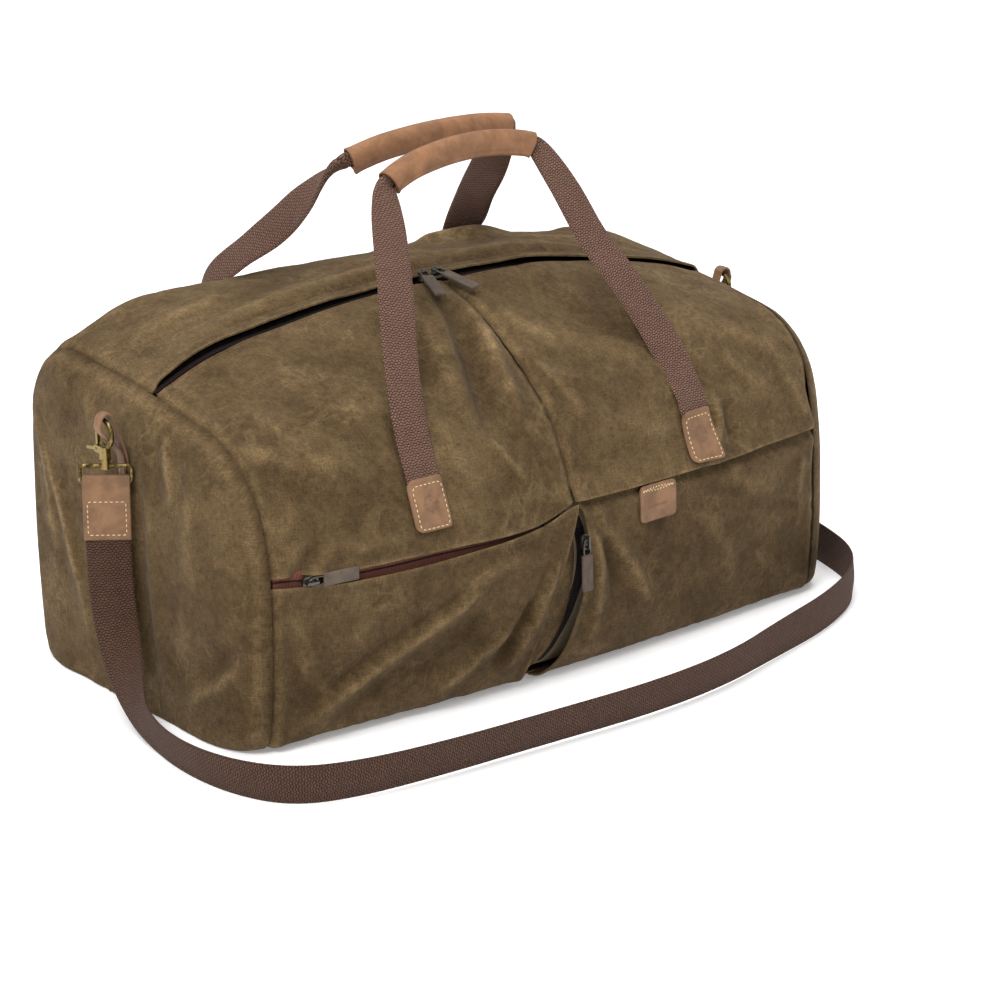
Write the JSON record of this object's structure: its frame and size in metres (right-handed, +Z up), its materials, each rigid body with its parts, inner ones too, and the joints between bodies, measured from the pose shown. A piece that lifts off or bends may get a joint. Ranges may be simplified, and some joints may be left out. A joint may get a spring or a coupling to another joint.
{
  "type": "weekender bag",
  "caption": "Soft waxed-canvas weekender bag with zipped top, two front pockets, twin carry handles with leather grips and a detachable shoulder strap.",
  "frame": {"origin": "on the ground under the middle of the bag body", "axes": "+Z up, +X along the bag's length towards the right end seen from the front, front face towards -Y"},
  "size_m": [0.7187, 0.4568, 0.425],
  "materials": {
    "canvas": "waxed cotton canvas, olive brown, rubbed lighter along folds",
    "lining_cloth": "plain woven lining",
    "board": "stiff black base board",
    "zip_tape": "woven red-brown zip tape with dark coils",
    "dark_metal": "dark gunmetal slider",
    "pull_leather": "grey-brown leather zip pull",
    "webbing": "heavy brown webbing, twill rib",
    "leather": "tan oiled leather with cream stitching",
    "antique_brass": "antique brass, worn brighter on the high spots",
    "spring_wire": "fine steel spring wire"
  },
  "bodies": {
    "bag_body": {"base_panel": "canvas", "back_panel": "canvas", "front_panel_left": "canvas", "front_panel_right": "canvas", "front_pocket_left": "canvas", "front_pocket_right": "canvas", "centre_gusset": "canvas", "front_hem": "canvas", "end_panel_right": "canvas", "end_panel_left": "canvas", "lining": "lining_cloth", "base_board": "board", "main_zip_front": "zip_tape", "pocket_zip": "zip_tape", "centre_zip": "zip_tape", "handle_ends_front": "webbing", "handle_ends_rear": "webbing", "handle_patches": "leather", "leather_tag": "leather", "shoulder_strap": "webbing", "strap_tab_left": "leather", "strap_tab_right": "leather", "swivel_loop_left": "antique_brass", "anchor_loop_left": "leather", "swivel_loop_right": "antique_brass", "anchor_loop_right": "leather"},
    "top_flap_body": {"top_flap": "canvas", "main_zip_rear": "zip_tape"},
    "main_slider_left": {"main_slider_left": "dark_metal"},
    "main_slider_right": {"main_slider_right": "dark_metal"},
    "main_pull_left": {"main_pull_left": "pull_leather"},
    "main_pull_right": {"main_pull_right": "pull_leather"},
    "pocket_slider": {"pocket_slider": "dark_metal"},
    "pocket_pull": {"pocket_pull": "pull_leather"},
    "centre_slider": {"centre_slider": "dark_metal"},
    "centre_pull": {"centre_pull": "pull_leather"},
    "front_handle": {"handle_webbing_front": "webbing", "handle_grip_front": "leather"},
    "rear_handle": {"handle_webbing_rear": "webbing", "handle_grip_rear": "leather"},
    "hook_left": {"snap_hook_left": "antique_brass", "gate_pin_left": "antique_brass", "gate_spring_left": "spring_wire"},
    "hook_right": {"snap_hook_right": "antique_brass", "gate_pin_right": "antique_brass", "gate_spring_right": "spring_wire"},
    "gate_left": {"snap_gate_left": "antique_brass"},
    "gate_right": {"snap_gate_right": "antique_brass"}
  },
  "joints": [
    {"name": "top_opening", "type": "hinge", "parent": "bag_body", "child": "top_flap_body", "pos_m": [0, 0.116, 0.28], "axis": [-1, 0, 0], "range_deg": [0, 30]},
    {"name": "main_slider_left_run", "type": "hinge", "parent": "top_flap_body", "child": "main_slider_left", "pos_m": [0, -0.008, -0.59229], "axis": [0, 1, 0], "range_deg": [-15.42, 0]},
    {"name": "main_pull_left_lift", "type": "hinge", "parent": "main_slider_left", "child": "main_pull_left", "pos_m": [-0.0188, -0.008, 0.3022], "axis": [-0.9597, 0.2746, 0.0604], "range_deg": [0, 95]},
    {"name": "main_slider_right_run", "type": "hinge", "parent": "top_flap_body", "child": "main_slider_right", "pos_m": [0, -0.008, -0.59229], "axis": [0, 1, 0], "range_deg": [0, 16.97]},
    {"name": "main_pull_right_lift", "type": "hinge", "parent": "main_slider_right", "child": "main_pull_right", "pos_m": [-0.0052, -0.008, 0.30239], "axis": [-0.9692, -0.2404, -0.0529], "range_deg": [0, 95]},
    {"name": "pocket_slider_run", "type": "hinge", "parent": "bag_body", "child": "pocket_slider", "pos_m": [0, 2.06142, 0.137], "axis": [0, 0, 1], "range_deg": [0, 5.2]},
    {"name": "pocket_pull_lift", "type": "hinge", "parent": "pocket_slider", "child": "pocket_pull", "pos_m": [-0.25048, -0.1716, 0.137], "axis": [0, 0, -1], "range_deg": [0, 150]},
    {"name": "centre_slider_run", "type": "hinge", "parent": "bag_body", "child": "centre_slider", "pos_m": [0.005, 0.0765, 0.107], "axis": [1, 0, 0], "range_deg": [0, 12.85]},
    {"name": "centre_pull_lift", "type": "hinge", "parent": "centre_slider", "child": "centre_pull", "pos_m": [0.005, -0.18764, 0.11615], "axis": [-1, 0, 0], "range_deg": [0, 130]},
    {"name": "front_handle_fold", "type": "hinge", "parent": "bag_body", "child": "front_handle", "pos_m": [0, -0.1528, 0.204], "axis": [1, 0, 0], "range_deg": [0, 120]},
    {"name": "rear_handle_fold", "type": "hinge", "parent": "bag_body", "child": "rear_handle", "pos_m": [0, 0.1615, 0.204], "axis": [-1, 0, 0], "range_deg": [0, 120]},
    {"name": "hook_swivel_left", "type": "hinge", "parent": "bag_body", "child": "hook_left", "pos_m": [-0.324, -0.006, 0.206], "axis": [0, 0, 1], "range_deg": [-10, 10]},
    {"name": "gate_left_press", "type": "hinge", "parent": "hook_left", "child": "gate_left", "pos_m": [-0.324, 0.002, 0.2136], "axis": [1, 0, 0], "range_deg": [0, 12], "stiffness_Nm_per_rad": 0.05, "springref_deg": -17.19},
    {"name": "hook_swivel_right", "type": "hinge", "parent": "bag_body", "child": "hook_right", "pos_m": [0.324, 0.013, 0.206], "axis": [0, 0, 1], "range_deg": [-10, 10]},
    {"name": "gate_right_press", "type": "hinge", "parent": "hook_right", "child": "gate_right", "pos_m": [0.324, 0.021, 0.2136], "axis": [1, 0, 0], "range_deg": [0, 12], "stiffness_Nm_per_rad": 0.05, "springref_deg": -17.19}
  ]
}
